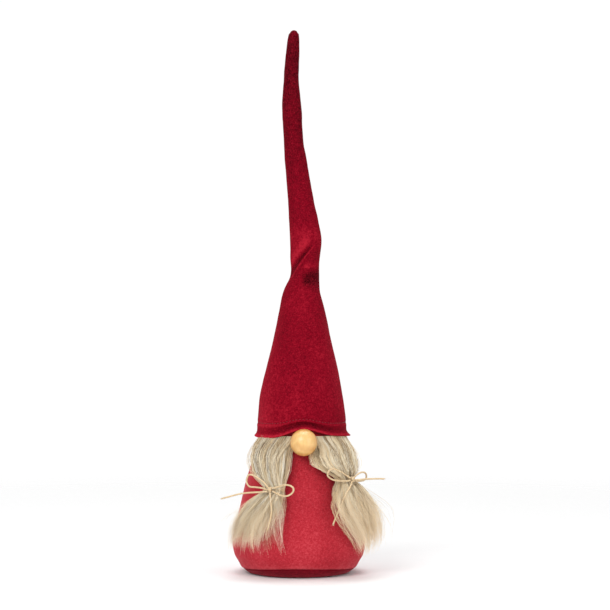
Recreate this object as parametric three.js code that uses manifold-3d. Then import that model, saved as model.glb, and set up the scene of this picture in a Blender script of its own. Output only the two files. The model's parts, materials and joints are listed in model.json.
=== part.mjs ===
// A tall tomte gnome: a weighted velvet body, a wooden nose, two tied locks of hair and a long wired hat.
// Millimetres, +Z up. The origin is the centre of the flat underside, and the gnome faces -Y.
import * as THREE from 'three';
import { mergeVertices } from 'three/addons/utils/BufferGeometryUtils.js';
import Module from 'manifold-3d';

const wasm = await Module();
wasm.setup();

// Clearances and cloth
const FIT = 0.3; // between pieces that touch
const VELVET = 1.6; // backed velvet
const LOOSE = 1.5; // around a soft filling or pouch
const BEND_GAP = 2.5; // between two sections of the hat that bend against each other

// Body
const FOOT_RADIUS = 50; // the flat ring that it stands on
const SEAM_RADIUS = 68;
const SEAM_Z = 11; // where the base panel is sewn to the sleeve
const HIP_RADIUS = 75.5;
const HIP_Z = 22;
const BELLY_RADIUS = 77;
const BELLY_Z = 41;
const CHEST_RADIUS = 60;
const CHEST_BELOW_BRIM = 35;
const NECK_GAP = 1.8; // between the sleeve and the inside of the brim
const COLLAR_RADIUS = 36; // the sleeve's open top, inside the hat
const COLLAR_ABOVE_BRIM = 29;
const CROWN_RISE = 13; // of the filling above the sleeve's open top

// Inside the base
const BOARD_RADIUS = 46;
const BOARD_THICKNESS = 2;
const POUCH_RADIUS = 60;
const POUCH_HEIGHT = 30;
const POUCH_WALL = 1;
const POUCH_NECK_RADIUS = 5;

// Nose
const NOSE_RADIUS = 15;
const NOSE_FLAT = 2; // how deep the glued flat is cut into the ball
const NOSE_TURN = 2; // degrees round from the front, towards +X
const NOSE_BELOW_BRIM = 8.5; // its glue, below the lowest edge of the brim
const GLUE_RADIUS = 4.5;
const GLUE_THICKNESS = 1.2;

// Hat
const BRIM_Z = 156;
const BRIM_RADIUS = 53;
const BRIM_LEAN = 3.5; // how far the neck and the hat stand off centre, towards +X
const HEM_HEIGHT = 8;
const HEM_FLARE = 1.8;
const NOSE_ARCH = NOSE_RADIUS - 6.5; // how far the brim rises over the nose
const ARCH_SPREAD = 24; // degrees
const ARCH_FADE = 38; // height over which the rise dies out
const SHOULDER_RISE = 45;
const SHOULDER_RADIUS = 47.5;
const TAPER_RISE = 84;
const TAPER_RADIUS = 39.8;
const KINK_RISE = 182; // first bend, above the brim
const KINK_RADIUS = 17.2;
const BULGE_RISE = 40; // above the first bend
const BULGE_RADIUS = 18.3;
const MIDDLE_RISE = 92; // second bend, above the first
const MIDDLE_RADIUS = 14.4;
const TIP_RISE = 100; // third bend, above the second
const TIP_BEND_RADIUS = 10.6;
const TIP_LENGTH = 89;
const TIP_END_RADIUS = 6.4;
const TAIL_DEPTH = 0.85; // front to back, as a share of the width
const THREAD = 0.7;
const WIRE_RADIUS = 1;
const WIRE_HOLE_RADIUS = 1.6;

// Hair and twine
const LOCK_CAP = 6.5; // radius of a lock's rounded top, about its hinge line
const LOCK_BELOW_BRIM = 9.5; // the hinge line, below the lowest edge of the brim
const STRIP_THICKNESS = 1.2;
const STRIP_HEIGHT = 11;
const STRIP_GAP = 0.6; // between the sleeve and a strip
const TWINE = 2.1;
const KNOT_RADIUS = 3;
const WRAP_GAP = 1; // between a lock's waist and its twine
const LOCK_STANDOFF = TWINE + WRAP_GAP + 0.8; // room behind a lock for its backing strip and its twine

const BENDS = [BRIM_Z + KINK_RISE];
BENDS.push(BENDS[0] + MIDDLE_RISE);
BENDS.push(BENDS[1] + TIP_RISE);
const TOP_Z = BENDS[2] + TIP_LENGTH;
const RADIANS = Math.PI / 180;

// A smooth curve through [place, value] pairs.
function smooth(points) {
  const last = points.length - 1;
  function slope(i) {
    const a = points[Math.max(i - 1, 0)];
    const b = points[Math.min(i + 1, last)];
    return (b[1] - a[1]) / (b[0] - a[0]);
  }
  return (place) => {
    let i = 0;
    while (i < last - 1 && place > points[i + 1][0]) i += 1;
    const run = points[i + 1][0] - points[i][0];
    const t = THREE.MathUtils.clamp((place - points[i][0]) / run, 0, 1);
    const value = points[i][1] * (1 + 2 * t) * (1 - t) ** 2 + points[i + 1][1] * t * t * (3 - 2 * t);
    return value + run * t * (1 - t) * (slope(i) * (1 - t) - slope(i + 1) * t);
  };
}

const bodyRadius = smooth([
  [SEAM_Z, SEAM_RADIUS],
  [HIP_Z, HIP_RADIUS],
  [BELLY_Z, BELLY_RADIUS],
  [BRIM_Z - CHEST_BELOW_BRIM, CHEST_RADIUS],
  [BRIM_Z, BRIM_RADIUS - VELVET - NECK_GAP],
  [BRIM_Z + COLLAR_ABOVE_BRIM, COLLAR_RADIUS],
]);

// Sideways place of the body's middle line.
const bodyMiddle = smooth([
  [BELLY_Z, 0],
  [BRIM_Z, BRIM_LEAN],
  [BRIM_Z + COLLAR_ABOVE_BRIM, BRIM_LEAN],
]);

const hatRadius = smooth([
  [BRIM_Z, BRIM_RADIUS],
  [BRIM_Z + SHOULDER_RISE, SHOULDER_RADIUS],
  [BRIM_Z + TAPER_RISE, TAPER_RADIUS],
  [BENDS[0], KINK_RADIUS],
  [BENDS[0] + BULGE_RISE, BULGE_RADIUS],
  [BENDS[1], MIDDLE_RADIUS],
  [BENDS[2], TIP_BEND_RADIUS],
  [TOP_Z, TIP_END_RADIUS],
]);

// Sideways place of the hat's middle line: it leans right at the first bend, left at the third.
const hatMiddle = smooth([
  [BRIM_Z, BRIM_LEAN],
  [BENDS[0] - 30, 3.2],
  [BENDS[0] + 32, 7.4],
  [BENDS[1] + 5, 2],
  [BENDS[2], -8.6],
  [TOP_Z, -5.5],
]);

function heights(from, to, steps) {
  return Array.from({ length: steps + 1 }, (_, i) => from + ((to - from) * i) / steps);
}

// Turns [radius, height] pairs about the Z axis.
function turned(profile, segments) {
  const points = profile.map(([radius, height]) => new THREE.Vector2(radius, height));
  return new THREE.LatheGeometry(points, segments).rotateX(Math.PI / 2);
}

function moveVertices(geometry, place) {
  const positions = geometry.getAttribute('position');
  const vertex = new THREE.Vector3();
  for (let i = 0; i < positions.count; i += 1) {
    vertex.fromBufferAttribute(positions, i);
    place(vertex);
    positions.setXYZ(i, vertex.x, vertex.y, vertex.z);
  }
  return geometry;
}

function swayed(geometry) {
  return moveVertices(geometry, (vertex) => {
    vertex.x += bodyMiddle(vertex.z);
  });
}

// Follows the hat's leaning middle line, with a tail that is thinner from front to back.
function leaned(geometry) {
  return moveVertices(geometry, (vertex) => {
    const above = THREE.MathUtils.smoothstep(vertex.z, BENDS[0] - 60, BENDS[0] - 20);
    vertex.y *= THREE.MathUtils.lerp(1, TAIL_DEPTH, above);
    vertex.x += hatMiddle(vertex.z);
  });
}

// Raises the brim over the nose.
function arched(geometry) {
  return moveVertices(geometry, (vertex) => {
    const turn = Math.atan2(vertex.x, -vertex.y) / RADIANS - NOSE_TURN;
    const near = Math.exp(-((turn / ARCH_SPREAD) ** 2));
    const fade = 1 - THREE.MathUtils.smoothstep(vertex.z, BRIM_Z, BRIM_Z + ARCH_FADE);
    vertex.z += NOSE_ARCH * near * fade;
  });
}

function tube(path, radius, steps) {
  const section = new THREE.Shape().absarc(0, 0, radius, 0, 2 * Math.PI);
  return new THREE.ExtrudeGeometry(section, { extrudePath: path, steps, curveSegments: 4 });
}

function solid(geometry) {
  geometry.deleteAttribute('normal');
  geometry.deleteAttribute('uv');
  const merged = mergeVertices(geometry);
  const vertProperties = new Float32Array(merged.getAttribute('position').array);
  const triVerts = new Uint32Array(merged.getIndex().array);
  return new wasm.Manifold(new wasm.Mesh({ numProp: 3, vertProperties, triVerts }));
}

function fromSolid(manifold) {
  const mesh = manifold.getMesh();
  const geometry = new THREE.BufferGeometry();
  geometry.setAttribute('position', new THREE.BufferAttribute(mesh.vertProperties, 3));
  geometry.setIndex(new THREE.BufferAttribute(mesh.triVerts, 1));
  return geometry;
}

const FINISHES = {
  bodyVelvet: { color: 0xbe3540, roughness: 0.85, metalness: 0 },
  hatVelvet: { color: 0x8c1024, roughness: 0.85, metalness: 0 },
  baseVelvet: { color: 0x67101e, roughness: 0.9, metalness: 0 },
  card: { color: 0x9a8462, roughness: 0.9, metalness: 0 },
  fibre: { color: 0xeeebe4, roughness: 0.95, metalness: 0 },
  pouch: { color: 0xcfc6b2, roughness: 0.9, metalness: 0 },
  sand: { color: 0xb9a27c, roughness: 0.95, metalness: 0 },
  wood: { color: 0xeec084, roughness: 0.3, metalness: 0 },
  glue: { color: 0xe9e2c8, roughness: 0.4, metalness: 0 },
  wire: { color: 0x8d9196, roughness: 0.4, metalness: 0.9 },
  thread: { color: 0x7a0d1f, roughness: 0.7, metalness: 0 },
  backing: { color: 0xb09a7c, roughness: 0.9, metalness: 0 },
  hair: { color: 0xcdb998, roughness: 0.75, metalness: 0 },
  twine: { color: 0xe9d0b2, roughness: 0.8, metalness: 0 },
};

function piece(name, geometry, finish, parent) {
  const mesh = new THREE.Mesh(geometry, new THREE.MeshStandardMaterial(FINISHES[finish]));
  mesh.name = name;
  parent.add(mesh);
  return mesh;
}

const gnome = new THREE.Group();

// Base: a velvet dish with a stiff card disc in it, and a pouch of sand that keeps the gnome upright.
function makeBase() {
  const bulge = new THREE.QuadraticBezierCurve(
    new THREE.Vector2(FOOT_RADIUS, 0),
    new THREE.Vector2(SEAM_RADIUS - 3, 1),
    new THREE.Vector2(SEAM_RADIUS, SEAM_Z),
  );
  const outside = bulge.getPoints(5).map((point) => [point.x, point.y]);
  const inside = bulge.getPoints(5).map((point) => [point.x - VELVET, point.y + VELVET * (1 - point.y / SEAM_Z)]);
  const dish = [[0, 0], ...outside, ...inside.reverse(), [0, VELVET]];
  piece('base_panel', turned(dish, 32), 'baseVelvet', gnome);

  const board = new THREE.CylinderGeometry(BOARD_RADIUS, BOARD_RADIUS, BOARD_THICKNESS, 32);
  board.rotateX(Math.PI / 2);
  const boardZ = VELVET + FIT + BOARD_THICKNESS / 2;
  piece('base_board', board, 'card', gnome).position.z = boardZ;
  return boardZ + BOARD_THICKNESS / 2 + FIT;
}

const pouchZ = makeBase();

// A squashed ball's outline from its flat bottom to its neck, drawn in by an inset.
function pouchOutline(inset) {
  const half = POUCH_HEIGHT / 2;
  const widest = Math.min(POUCH_RADIUS, SEAM_RADIUS - VELVET - LOOSE) - inset;
  const lift = pouchZ + half;
  const lowest = Math.asin(THREE.MathUtils.clamp((BOARD_RADIUS - inset) / widest, 0, 0.8));
  const highest = Math.PI - Math.asin(POUCH_NECK_RADIUS / widest);
  return heights(lowest, highest, 9).map((angle) => [
    widest * Math.sin(angle),
    lift - ((half - inset) * Math.cos(angle)) / Math.cos(angle < Math.PI / 2 ? lowest : 0),
  ]);
}

function makeBallast() {
  const outside = pouchOutline(0);
  const inside = pouchOutline(POUCH_WALL).reverse();
  const skin = [[0, outside[0][1]], ...outside, ...inside, [0, inside.at(-1)[1]]];
  piece('ballast_pouch', turned(skin, 20), 'pouch', gnome);
  const fill = pouchOutline(POUCH_WALL + FIT);
  const sand = [[0, fill[0][1]], ...fill, [0, fill.at(-1)[1]]];
  piece('ballast_sand', turned(sand, 20), 'sand', gnome);
}

makeBallast();

// Body: an open-topped velvet sleeve around a firm filling, which share their heights.
function makeBody() {
  const collarZ = BRIM_Z + COLLAR_ABOVE_BRIM;
  const bottomZ = pouchZ + POUCH_HEIGHT + LOOSE;
  const upper = heights(bottomZ, collarZ, 12);
  const all = [...heights(SEAM_Z + FIT, bottomZ, 4).slice(0, -1), ...upper];
  const outside = all.map((z) => [bodyRadius(z), z]);
  const inside = all.map((z) => [bodyRadius(z) - VELVET, z]).reverse();
  const sleeve = turned([...outside, ...inside, outside[0]], 32);
  piece('body_sleeve', swayed(sleeve), 'bodyVelvet', gnome);

  const sides = upper.map((z) => [bodyRadius(z) - VELVET - LOOSE, z]);
  const crownRadius = sides.at(-1)[0];
  const crown = heights(0, Math.PI / 2, 4).slice(1, -1);
  const dome = crown.map((angle) => [crownRadius * Math.cos(angle), collarZ + CROWN_RISE * Math.sin(angle)]);
  const filling = [[0, bottomZ], ...sides, ...dome, [0, collarZ + CROWN_RISE]];
  piece('body_filling', swayed(turned(filling, 32)), 'fibre', gnome);
}

makeBody();

// Nose: a lacquered ball with a small flat at the back, glued to the slope of the chest.
function makeNose() {
  const z = BRIM_Z - NOSE_BELOW_BRIM;
  const slope = Math.atan2(bodyRadius(z - 5) - bodyRadius(z + 5), 10);
  // how far the chest bulges past its slope where the glue sits
  const bulges = heights(-GLUE_RADIUS, GLUE_RADIUS, 6).map(
    (rise) => (bodyRadius(z + rise) - bodyRadius(z)) * Math.cos(slope) + rise * Math.sin(slope),
  );
  const seat = Math.max(...bulges) + FIT;
  const turn = new THREE.Group();
  turn.position.x = bodyMiddle(z);
  turn.rotation.z = NOSE_TURN * RADIANS;
  gnome.add(turn);
  const tilt = new THREE.Group();
  tilt.position.set(0, -bodyRadius(z), z);
  tilt.rotation.x = -slope;
  turn.add(tilt);

  const glue = new THREE.CylinderGeometry(GLUE_RADIUS, GLUE_RADIUS, GLUE_THICKNESS, 16);
  piece('nose_glue', glue, 'glue', tilt).position.y = -seat - GLUE_THICKNESS / 2;

  const ball = solid(new THREE.SphereGeometry(NOSE_RADIUS, 20, 14));
  const reach = 2 * NOSE_RADIUS;
  const cutter = new THREE.BoxGeometry(reach, reach, reach);
  cutter.translate(0, NOSE_RADIUS - NOSE_FLAT + reach / 2, 0);
  const nose = piece('nose_ball', fromSolid(ball.subtract(solid(cutter))), 'wood', tilt);
  nose.position.y = -(seat + GLUE_THICKNESS + FIT + NOSE_RADIUS - NOSE_FLAT);
}

makeNose();

// Hat: a cone that drops over the top of the body, a turned hem, its stitching, a filling and a wire.
function makeHat() {
  const topZ = BENDS[0] - KINK_RADIUS - BEND_GAP;
  const seamZ = BRIM_Z + HEM_HEIGHT;
  const outside = heights(seamZ + FIT, topZ, 12).map((z) => [hatRadius(z), z]);
  const inside = heights(topZ, seamZ + FIT, 7).map((z) => [hatRadius(z) - VELVET, z]);
  const cone = turned([...outside, ...inside, outside[0]], 32);
  piece('hat_cone', leaned(arched(cone)), 'hatVelvet', gnome);

  const fold = VELVET; // the turned edge is two layers thick
  const hem = [
    [BRIM_RADIUS - fold + HEM_FLARE, BRIM_Z],
    [BRIM_RADIUS + fold + HEM_FLARE, BRIM_Z],
    [hatRadius(BRIM_Z + HEM_HEIGHT / 2) + fold, BRIM_Z + HEM_HEIGHT / 2],
    [hatRadius(seamZ), seamZ],
    [hatRadius(seamZ) - VELVET, seamZ],
    [hatRadius(BRIM_Z + HEM_HEIGHT / 2) - VELVET, BRIM_Z + HEM_HEIGHT / 2],
    [BRIM_RADIUS - fold + HEM_FLARE, BRIM_Z],
  ];
  piece('hat_hem', leaned(arched(turned(hem, 32))), 'hatVelvet', gnome);

  const threadZ = seamZ + 7;
  const ring = hatRadius(threadZ) + THREAD / 2 + FIT;
  const corners = heights(0, 2 * Math.PI, 5).map((angle) => [
    ring + (THREAD / 2) * Math.cos(angle),
    threadZ + (THREAD / 2) * Math.sin(angle),
  ]);
  corners[5] = corners[0];
  piece('hem_thread', leaned(arched(turned(corners, 32))), 'thread', gnome);

  const fillingZ = BRIM_Z + COLLAR_ABOVE_BRIM + CROWN_RISE + 6;
  const inset = VELVET + LOOSE;
  const sides = heights(fillingZ, topZ - 2, 6).map((z) => [hatRadius(z) - inset, z]);
  const bore = heights(topZ - 2, fillingZ, 6).map((z) => [WIRE_HOLE_RADIUS, z]);
  const filling = turned([...sides, ...bore, sides[0]], 20);
  piece('hat_filling', leaned(filling), 'fibre', gnome);
  piece('hat_wire', wireBetween(fillingZ + 12, topZ), 'wire', gnome);
}

// A length of the bendable wire along the hat's middle line.
function wireBetween(lowZ, highZ) {
  const points = heights(lowZ, highZ, 6).map((z) => new THREE.Vector3(hatMiddle(z), 0, z));
  return tube(new THREE.CatmullRomCurve3(points), WIRE_RADIUS, 8);
}

makeHat();

// Tail: three hollow sections, each with a round lower end centred on its own bend.
const ENDS = [KINK_RADIUS, MIDDLE_RADIUS, TIP_BEND_RADIUS];

function tailOutline(index, inset) {
  const pivotZ = BENDS[index];
  const radius = ENDS[index] - inset;
  const isTip = index === ENDS.length - 1;
  const topZ = isTip ? TOP_Z : BENDS[index + 1] - ENDS[index + 1] - BEND_GAP;
  const round = heights(Math.asin((WIRE_HOLE_RADIUS + 0.4) / radius), Math.PI / 2, 5).slice(0, -1);
  const end = round.map((angle) => [radius * Math.sin(angle), pivotZ - radius * Math.cos(angle)]);
  if (!isTip) return [...end, ...heights(pivotZ, topZ, 7).map((z) => [hatRadius(z) - inset, z])];
  const shoulderZ = TOP_Z - TIP_END_RADIUS;
  const sides = heights(pivotZ, shoulderZ, 6).map((z) => [hatRadius(z) - inset, z]);
  const cap = hatRadius(shoulderZ) - inset;
  const nose = heights(0, Math.PI / 2, 3).slice(1, -1);
  const dome = nose.map((angle) => [cap * Math.cos(angle), shoulderZ + cap * Math.sin(angle)]);
  return [...end, ...sides, ...dome, [0, shoulderZ + cap]];
}

function makeTail() {
  const names = ['lower_tail', 'middle_tail', 'tip_tail'];
  names.forEach((name, index) => {
    const section = new THREE.Group();
    gnome.add(section);
    const outside = tailOutline(index, 0);
    const inside = tailOutline(index, VELVET).reverse();
    const shell = turned([...outside, ...inside, outside[0]], 16);
    piece(name, leaned(shell), 'hatVelvet', section);
    const reach = outside.at(-1)[1] - (index === 2 ? TIP_END_RADIUS + 10 : 2);
    piece(`${name}_wire`, wireBetween(BENDS[index] - ENDS[index] / 2, reach), 'wire', section);
  });
}

makeTail();

// Hair. Each lock's tables run down from its hinge line: how far down, then the value there.
const hingeZ = BRIM_Z - LOCK_BELOW_BRIM;
const TOP_WIDTH = 36;

// Degrees round to a lock's hinge, with its inner edge clear of the nose by a gap.
function besideNose(gap) {
  const arc = Math.sign(gap) * (NOSE_RADIUS + TOP_WIDTH / 2) + gap;
  return NOSE_TURN + arc / (bodyRadius(hingeZ) + LOCK_STANDOFF + LOCK_CAP) / RADIANS;
}

const LOCKS = {
  left: {
    tie: 46,
    length: 112,
    turn: smooth([[0, besideNose(-4)], [46, -23.5], [85, -36], [112, -40]]),
    width: smooth([[0, TOP_WIDTH], [22, 37], [44, 20], [48, 20], [86, 54], [112, 30]]),
    thickness: smooth([[0, 2 * LOCK_CAP], [10, 2 * LOCK_CAP], [44, 9], [48, 9], [85, 15], [112, 8]]),
  },
  right: {
    tie: 36,
    length: 122,
    turn: smooth([[0, besideNose(7)], [36, 44.6], [80, 57], [122, 60]]),
    width: smooth([[0, TOP_WIDTH], [16, 36], [34, 22], [38, 22], [82, 56], [122, 32]]),
    thickness: smooth([[0, 2 * LOCK_CAP], [10, 2 * LOCK_CAP], [34, 9], [38, 9], [80, 17], [122, 9]]),
  },
};

// The bows' routes, from the knot's middle: across (towards +X), out from the body, and up.
const BOWS = {
  left: {
    outer_loop: [
      [-2.4, 0, 2.5], [-8.1, 1, 8.9], [-17.4, 1.5, 14.6], [-24.4, 1, 16.4], [-28, 0, 13],
      [-28.8, -0.5, 7.4], [-25, 0, 3], [-17.4, 1, 2.6], [-9.6, 0.8, 1.8], [-3.5, 0, -0.1],
    ],
    inner_loop: [
      [2.9, 0, 1.8], [10.5, 1.5, 3.9], [19.5, 2, 6.4], [26.4, 1, 5], [28.4, 0, 1],
      [25.4, 0, -3.6], [18.6, 1, -6.2], [9.8, 1, -4.2], [3.2, 0, -1.2],
    ],
    long_end: [
      [-2.5, 1.8, -1.6], [-9, 2.6, -2.4], [-17, 3, -3], [-26, 3, -3.8], [-35, 3, -5.2],
      [-43.5, 2.6, -7.4], [-51.5, 2, -9.6], [-58, 1.4, -11.4],
    ],
    short_end: [
      [0.4, 1.4, -3.1], [1.4, 2.6, -7.4], [3, 4.4, -13.5], [4.6, 6.4, -20.5], [4.9, 8.6, -28],
      [4, 10.6, -35], [2.8, 12.4, -42],
    ],
  },
  right: {
    inner_loop: [
      [-3, 0, 1.7], [-8, -2, 5.4], [-14.2, -4, 9.3], [-22.4, -7.5, 12.7], [-27.6, -9.5, 10.2],
      [-28.4, -10, 5], [-22.6, -8, 0.6], [-14.8, -4.6, -1], [-8, -2, -1.4], [-3.5, 0, -0.8],
    ],
    outer_loop: [
      [2.9, 0, 1.9], [9, -1, 4.8], [17, -3, 6.6], [25.6, -6, 6.2], [31, -8, 3.4],
      [31, -8, -0.4], [25.2, -6, -2.6], [16.4, -3, -2.8], [9, -1.4, -2.4], [3.3, 0, -1],
    ],
    long_end: [
      [2.5, 2.3, -0.4], [9, 3.6, -0.4], [17, 4.6, -0.3], [26, 5.6, -0.5], [35, 6.4, -0.8], [44, 7, -1.4],
    ],
    short_end: [
      [-1.6, 1, -3], [-4.6, 1.6, -7.6], [-9.6, 2, -12.6], [-14.4, 2, -18.6], [-18, 1.8, -25],
      [-21.4, 1.4, -31], [-25.6, 0.8, -38.6], [-30, 0, -47.6],
    ],
  },
};

// From a place on the body's slope (degrees round, height, distance out) to a point.
function onBody(vertex, turn, z, across, out) {
  const radius = bodyRadius(z) + out;
  const angle = turn * RADIANS + across / radius;
  vertex.set(bodyMiddle(z) + radius * Math.sin(angle), -radius * Math.cos(angle), z);
}

function makeLock(side) {
  const lock = LOCKS[side];
  const cap = heights(0, Math.PI / 2, 4).map((angle) => [Math.sin(angle), -LOCK_CAP * Math.cos(angle)]);
  const point = 20; // height of the lock's rounded tip
  const drops = [...heights(8, lock.tie - 2.5, 4), ...heights(lock.tie + 2.5, lock.length - point, 6)];
  const sides = drops.map((drop) => [1, drop]);
  const tip = heights(0, Math.PI / 2, 5).slice(1, -1);
  const end = tip.map((angle) => [Math.cos(angle), lock.length - point + point * Math.sin(angle)]);
  const column = turned([...cap, ...sides, ...end, [0, lock.length]], 14);
  return moveVertices(column, (vertex) => {
    const drop = vertex.z;
    const across = (vertex.x * lock.width(drop)) / 2;
    const out = LOCK_STANDOFF + ((1 + vertex.y) / 2) * lock.thickness(drop);
    onBody(vertex, lock.turn(drop), hingeZ - drop, across, out);
  });
}

// The twine's two turns around a lock's waist, as one flattened ring.
function makeWrap(side) {
  const lock = LOCKS[side];
  const middle = 10;
  const ring = new THREE.TorusGeometry(middle, TWINE / 2, 6, 18);
  return moveVertices(ring, (vertex) => {
    const angle = Math.atan2(vertex.y, vertex.x);
    const room = WRAP_GAP + TWINE / 2 + Math.hypot(vertex.x, vertex.y) - middle;
    const half = lock.thickness(lock.tie) / 2;
    const across = -(lock.width(lock.tie) / 2 + room) * Math.cos(angle);
    const out = LOCK_STANDOFF + half + (half + room) * Math.sin(angle);
    onBody(vertex, lock.turn(lock.tie), hingeZ - lock.tie + 2 * vertex.z, across, out);
  });
}

// The woven backing that the hair is rooted in, glued to the body under the brim.
function makeStrip(side) {
  const lock = LOCKS[side];
  const lowZ = hingeZ - STRIP_HEIGHT / 2;
  const reference = 100;
  const half = lock.width(0) / 2 / bodyRadius(hingeZ);
  const band = new THREE.Shape();
  band.absarc(0, 0, reference + STRIP_THICKNESS, -half, half, false);
  band.absarc(0, 0, reference, half, -half, true);
  const strip = new THREE.ExtrudeGeometry(band, {
    depth: STRIP_HEIGHT,
    steps: 4,
    curveSegments: 6,
    bevelEnabled: false,
  });
  return moveVertices(strip, (vertex) => {
    const z = lowZ + vertex.z;
    const out = STRIP_GAP + Math.hypot(vertex.x, vertex.y) - reference;
    const angle = Math.atan2(vertex.y, vertex.x) / RADIANS;
    onBody(vertex, lock.turn(0) + angle, z, 0, out);
  });
}

function makePigtail(side) {
  const lock = LOCKS[side];
  const pigtail = new THREE.Group();
  gnome.add(pigtail);
  piece(`${side}_hair_strip`, makeStrip(side), 'backing', gnome);
  piece(`${side}_hair_lock`, makeLock(side), 'hair', pigtail);
  piece(`${side}_twine_wrap`, makeWrap(side), 'twine', pigtail);

  const bow = new THREE.Group();
  const out = LOCK_STANDOFF + lock.thickness(lock.tie) + WRAP_GAP + TWINE + FIT + KNOT_RADIUS;
  onBody(bow.position, lock.turn(lock.tie), hingeZ - lock.tie, 0, out);
  bow.rotation.z = lock.turn(lock.tie) * RADIANS;
  pigtail.add(bow);
  piece(`${side}_knot`, new THREE.SphereGeometry(KNOT_RADIUS, 12, 8), 'twine', bow);
  for (const [name, route] of Object.entries(BOWS[side])) {
    const points = route.map(([across, away, up]) => new THREE.Vector3(across, -away, up));
    const path = new THREE.CatmullRomCurve3(points, false, 'centripetal');
    const steps = Math.ceil(path.getLength() / (2.6 * TWINE));
    piece(`${side}_${name}`, tube(path, TWINE / 2, steps), 'twine', bow);
  }
}

makePigtail('left');
makePigtail('right');

export default gnome;
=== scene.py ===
# %% [markdown]
# # A velvet tomte gnome with a tall wired hat
#
# The gnome is a soft sculpture: a weighted velvet body, a lacquered wooden nose, two tied locks of
# long-pile fur and a very tall hat with a wire in it. These cells make its looks around a packed
# frame, which already holds the sizes, the insides and the five hinges. Everything is in metres,
# +Z is up and the gnome faces -Y.

# %% Load the frame
import json
import math
import random

import bmesh
import bpy
from mathutils import Matrix, Vector, noise


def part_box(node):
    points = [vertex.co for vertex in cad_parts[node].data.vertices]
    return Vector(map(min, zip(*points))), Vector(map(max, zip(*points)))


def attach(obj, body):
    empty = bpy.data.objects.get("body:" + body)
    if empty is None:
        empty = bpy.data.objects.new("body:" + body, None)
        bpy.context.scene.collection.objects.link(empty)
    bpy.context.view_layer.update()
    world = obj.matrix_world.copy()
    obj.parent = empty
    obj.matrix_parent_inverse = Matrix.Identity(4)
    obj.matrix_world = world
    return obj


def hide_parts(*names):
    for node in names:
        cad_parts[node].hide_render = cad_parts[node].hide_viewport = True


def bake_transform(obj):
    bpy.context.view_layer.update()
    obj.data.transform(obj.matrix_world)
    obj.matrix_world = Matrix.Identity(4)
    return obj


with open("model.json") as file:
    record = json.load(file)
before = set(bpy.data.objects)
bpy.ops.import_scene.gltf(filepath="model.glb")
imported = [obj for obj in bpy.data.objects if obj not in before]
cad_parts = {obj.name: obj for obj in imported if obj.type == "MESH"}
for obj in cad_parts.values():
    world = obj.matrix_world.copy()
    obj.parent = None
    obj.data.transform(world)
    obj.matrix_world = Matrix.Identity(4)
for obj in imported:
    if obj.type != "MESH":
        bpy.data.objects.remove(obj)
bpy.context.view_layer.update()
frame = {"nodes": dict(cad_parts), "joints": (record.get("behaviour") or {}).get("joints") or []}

MM = 0.001
scene = bpy.context.scene

# %% [markdown]
# ## Places
#
# Every place below comes from the frame: the brim from the hem's box, the bends from the hinges and
# the knots from their own boxes. `smooth` turns a few pairs of place and value into one soft curve,
# as a pattern cutter joins a few marks with a French curve. The outlines of the body and of the hat
# are such curves, in millimetres.

# %% Smooth curves and the frame's places
def smooth(points):
    """A soft curve through [place, value] pairs."""
    last = len(points) - 1

    def slope(i):
        a, b = points[max(i - 1, 0)], points[min(i + 1, last)]
        return (b[1] - a[1]) / (b[0] - a[0])

    def value(place):
        i = 0
        while i < last - 1 and place > points[i + 1][0]:
            i += 1
        (start, low), (end, high) = points[i], points[i + 1]
        run = end - start
        t = min(max((place - start) / run, 0), 1)
        level = low * (1 + 2 * t) * (1 - t) ** 2 + high * t * t * (3 - 2 * t)
        return level + run * t * (1 - t) * (slope(i) * (1 - t) - slope(i + 1) * t)

    return value


def steps(start, end, count):
    return [start + (end - start) * i / count for i in range(count + 1)]


def fade(low, high, value):
    """From 0 at low to 1 at high, soft at both ends."""
    t = min(max((value - low) / (high - low), 0), 1)
    return t * t * (3 - 2 * t)


def hump(value, middle, width):
    return math.exp(-(((value - middle) / width) ** 2))


hinge = {joint["name"]: Vector(joint["pos_m"]) / MM for joint in frame["joints"]}
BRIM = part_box("hat_hem")[0][2] / MM
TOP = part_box("tip_tail")[1][2] / MM
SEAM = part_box("base_panel")[1][2] / MM
KINK = hinge["hat_bend_low"].z
HINGE_LINE = hinge["left_pigtail_lift"].z
print("brim %.1f, kink %.1f, top %.1f, base seam %.1f mm" % (BRIM, KINK, TOP, SEAM))

body_radius = smooth([
    [SEAM, 68], [SEAM + 11, 75.5], [SEAM + 30, 77],
    [BRIM - 35, 60], [BRIM, 49.6], [BRIM + 29, 36],
])
body_middle = smooth([[SEAM + 30, 0], [BRIM, 3.5], [BRIM + 29, 3.5]])

# %% [markdown]
# ## Camera
#
# The camera stands 2.4 m in front at half the gnome's height, with a long lens, so that the tall
# hat doesn't taper away.

# %% Camera
camera_data = bpy.data.cameras.new("Camera")
camera_data.lens = 124
camera = bpy.data.objects.new("Camera", camera_data)
camera.location = (0.007, -2.4, 0.305)
camera.rotation_euler = (math.radians(90), 0, 0)
scene.collection.objects.link(camera)
scene.camera = camera
print("camera at", tuple(camera.location), "lens", camera_data.lens)

# %% [markdown]
# ## Small helpers for meshes
#
# `add` puts a finished mesh in the scene. `from_curve` turns a curve into a mesh in place, which is
# how the twine and the hair are made: a curve is easy to route, and a mesh can carry attributes.

# %% Mesh helpers
def add(name, mesh, *materials):
    piece = bpy.data.objects.new(name, mesh)
    scene.collection.objects.link(piece)
    for material in materials:
        mesh.materials.append(material)
    return piece


def finished(bm, name, flat=False):
    """The bmesh as a mesh with outward normals and, unless flat, smooth shading."""
    bmesh.ops.remove_doubles(bm, verts=bm.verts, dist=1e-6)
    bmesh.ops.recalc_face_normals(bm, faces=bm.faces)
    mesh = bpy.data.meshes.new(name)
    bm.to_mesh(mesh)
    bm.free()
    mesh.polygons.foreach_set("use_smooth", [not flat] * len(mesh.polygons))
    return mesh


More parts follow.
